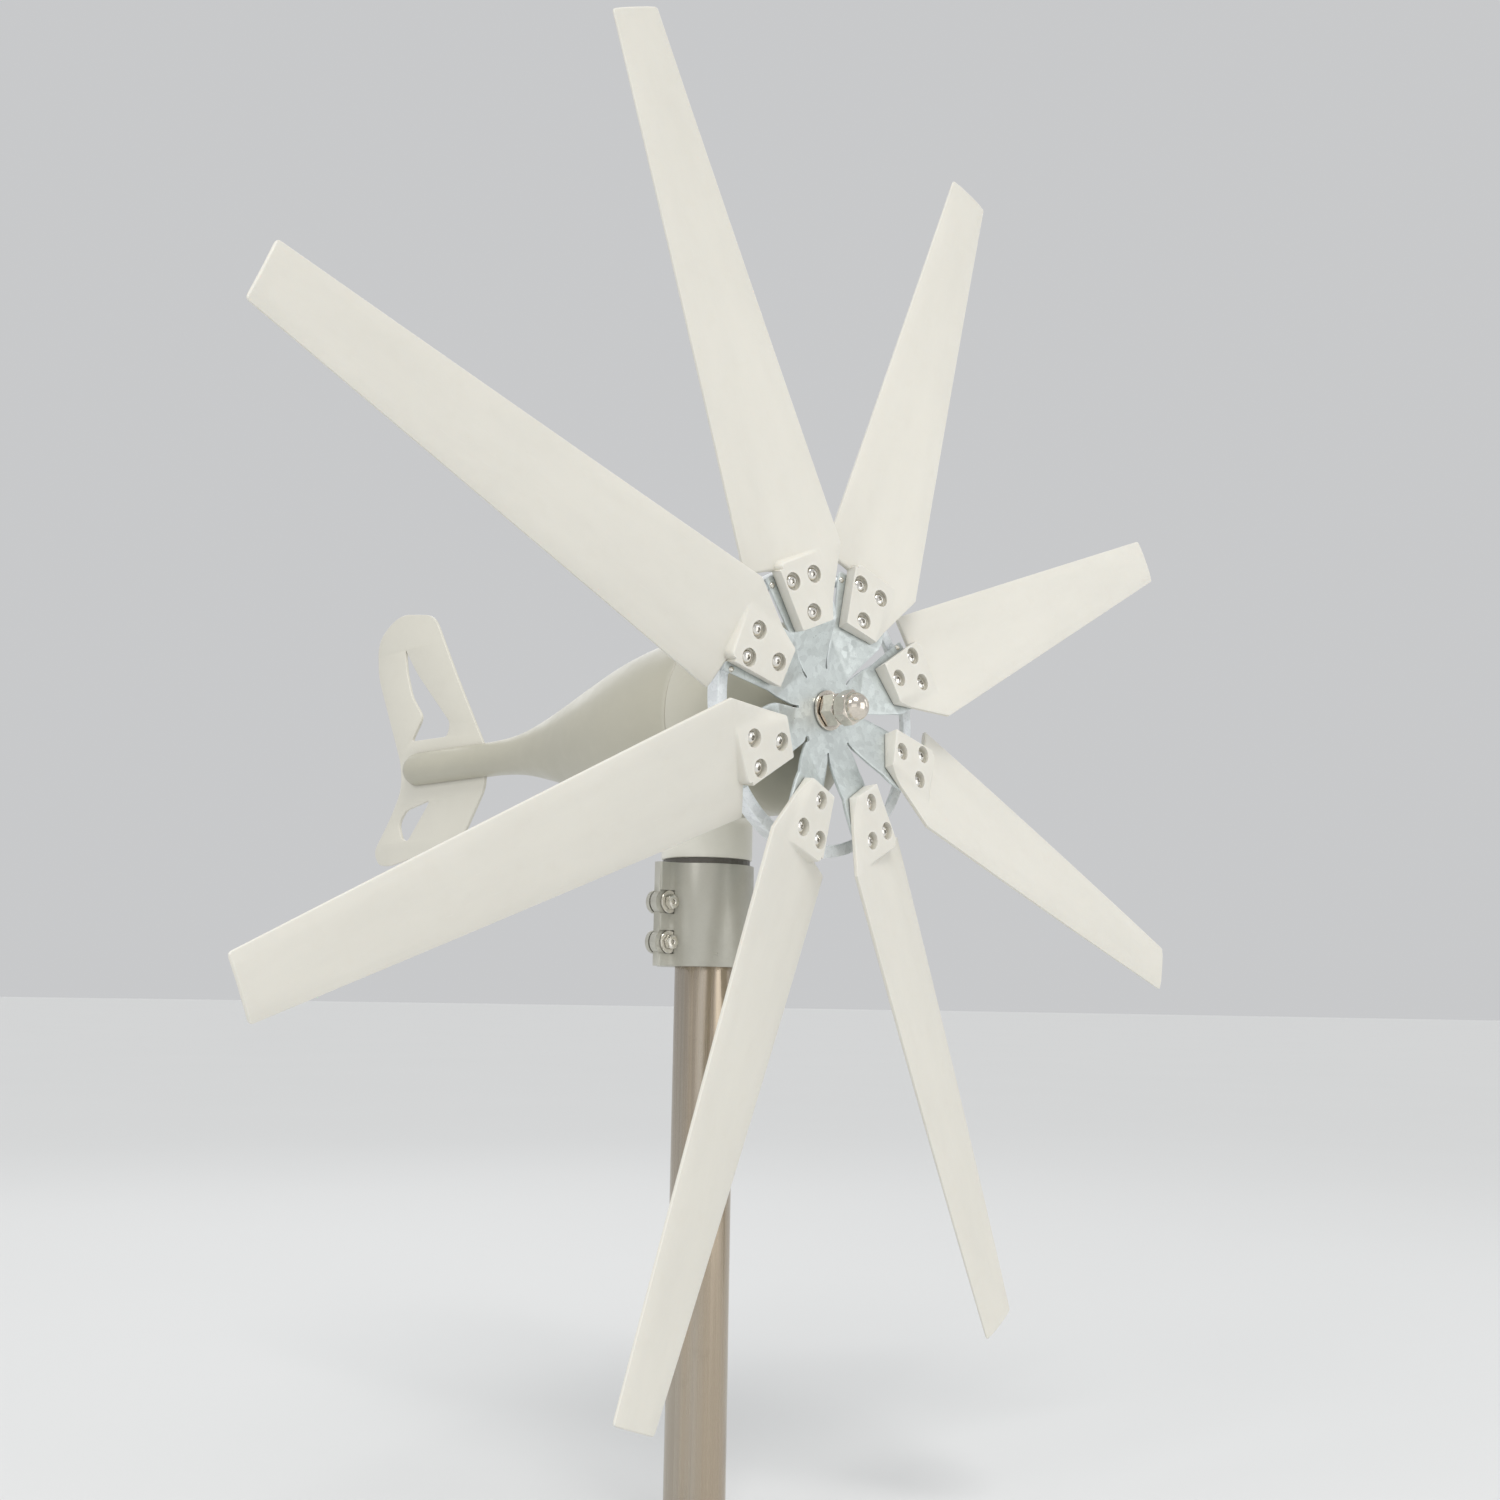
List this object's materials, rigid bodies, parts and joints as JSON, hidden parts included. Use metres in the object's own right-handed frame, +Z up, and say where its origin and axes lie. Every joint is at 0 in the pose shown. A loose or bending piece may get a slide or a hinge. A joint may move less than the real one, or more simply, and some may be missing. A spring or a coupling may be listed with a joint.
{
  "type": "small horizontal-axis wind turbine",
  "caption": "Micro wind generator with a horizontal axis: bladed rotor on a folded sheet hub, teardrop nacelle with tail fin, swivelling neck and split clamp on a tube mast.",
  "frame": {"origin": "centre of the mast's cut foot", "axes": "+Z up along the mast, which is the yaw axis; +X forward along the rotor's axis, the way the rotor faces; +Y to the left of something that looks forward"},
  "size_m": [0.8181, 1.2516, 1.4258],
  "materials": {
    "mast": "satin, brushed along the tube",
    "mast_clamp": "satin, grey metallic paint",
    "clamp_bolt": "satin, plated",
    "yaw_spindle": "satin, turned",
    "yaw_seal": "matte",
    "race": "polished, ground",
    "slip_ring": "satin",
    "yaw_housing": "satin, light beige-grey paint",
    "yaw_bush": "satin, bronze",
    "nacelle_body": "satin, light beige-grey paint",
    "front_housing": "satin, light beige-grey paint",
    "tail_fin": "satin, light beige-grey paint",
    "stator_core": "matte, laminated steel",
    "stator_winding": "satin, enamelled copper",
    "brush_block": "matte",
    "hub_plate": "satin, galvanised with a spangle",
    "hub_ring": "satin, galvanised",
    "shaft_fastener": "polished stainless",
    "main_shaft": "satin, turned",
    "magnet_rotor": "satin, plated",
    "blade": "satin, off-white moulded nylon",
    "blade_bolt": "polished"
  },
  "bodies": {
    "mast": {"mast": "mast", "mast_clamp": "mast_clamp", "clamp_bolt_upper": "clamp_bolt", "clamp_bolt_lower": "clamp_bolt", "yaw_spindle": "yaw_spindle", "yaw_seal": "yaw_seal", "yaw_bearing_inner": "race", "slip_ring": "slip_ring"},
    "nacelle": {"yaw_housing": "yaw_housing", "yaw_bearing_outer": "race", "yaw_bush": "yaw_bush", "nacelle_body": "nacelle_body", "front_housing": "front_housing", "tail_fin": "tail_fin", "stator_core": "stator_core", "stator_winding": "stator_winding", "front_bearing_outer": "race", "rear_bearing_outer": "race", "brush_block": "brush_block"},
    "rotor": {"hub_plate": "hub_plate", "hub_ring": "hub_ring", "hub_washer": "shaft_fastener", "hub_nut": "shaft_fastener", "dome_nut": "shaft_fastener", "main_shaft": "main_shaft", "magnet_rotor": "magnet_rotor", "front_bearing_inner": "race", "rear_bearing_inner": "race", "blade_1": "blade", "blade_2": "blade", "blade_3": "blade", "blade_4": "blade", "blade_5": "blade", "blade_6": "blade", "blade_7": "blade", "blade_8": "blade", "blade_bolt_1a": "blade_bolt", "blade_bolt_1b": "blade_bolt", "blade_bolt_1c": "blade_bolt", "blade_bolt_2a": "blade_bolt", "blade_bolt_2b": "blade_bolt", "blade_bolt_2c": "blade_bolt", "blade_bolt_3a": "blade_bolt", "blade_bolt_3b": "blade_bolt", "blade_bolt_3c": "blade_bolt", "blade_bolt_4a": "blade_bolt", "blade_bolt_4b": "blade_bolt", "blade_bolt_4c": "blade_bolt", "blade_bolt_5a": "blade_bolt", "blade_bolt_5b": "blade_bolt", "blade_bolt_5c": "blade_bolt", "blade_bolt_6a": "blade_bolt", "blade_bolt_6b": "blade_bolt", "blade_bolt_6c": "blade_bolt", "blade_bolt_7a": "blade_bolt", "blade_bolt_7b": "blade_bolt", "blade_bolt_7c": "blade_bolt", "blade_bolt_8a": "blade_bolt", "blade_bolt_8b": "blade_bolt", "blade_bolt_8c": "blade_bolt"}
  },
  "joints": [
    {"name": "yaw", "type": "hinge", "parent": "mast", "child": "nacelle", "pos_m": [0, 0, 0.663], "axis": [0, 0, 1], "continuous": true},
    {"name": "rotor_spin", "type": "hinge", "parent": "nacelle", "child": "rotor", "pos_m": [0.16, 0, 0.8], "axis": [1, 0, 0], "continuous": true}
  ]
}
